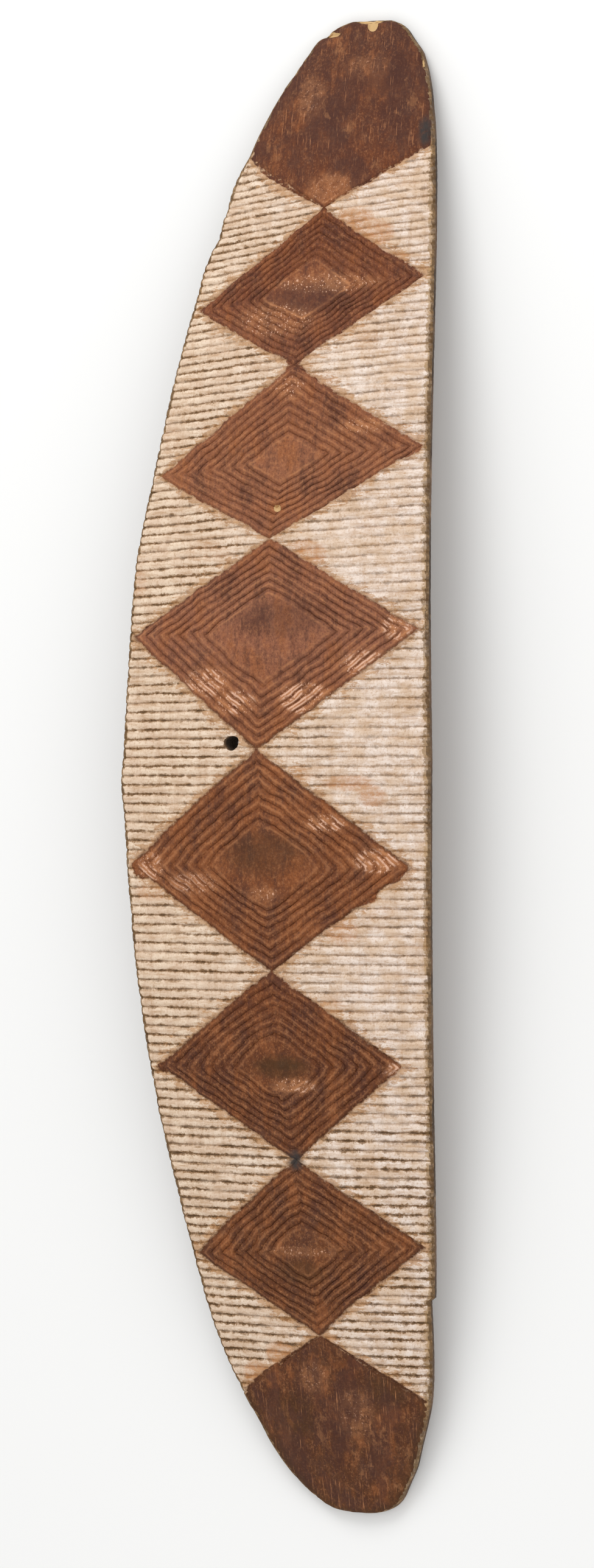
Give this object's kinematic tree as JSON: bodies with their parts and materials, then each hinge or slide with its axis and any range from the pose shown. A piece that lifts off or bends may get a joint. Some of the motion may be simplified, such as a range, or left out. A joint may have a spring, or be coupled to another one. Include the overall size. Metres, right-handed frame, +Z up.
{
  "type": "carved wooden shield",
  "caption": "Long narrow wooden shield, bowed and domed, with grooved diamonds and a grip carved at the back, lying face up.",
  "frame": {"origin": "on the ground under the middle of the shield's outline, as it lies face up", "axes": "+Y along the shield towards its head, +X towards its straighter edge, +Z up out of its painted front"},
  "size_m": [0.1968, 0.9, 0.0699],
  "materials": {
    "painted_wood": "old carved wood rubbed with red ochre and white clay, matt and worn"
  },
  "bodies": {
    "root": {"shield": "painted_wood"}
  },
  "joints": []
}
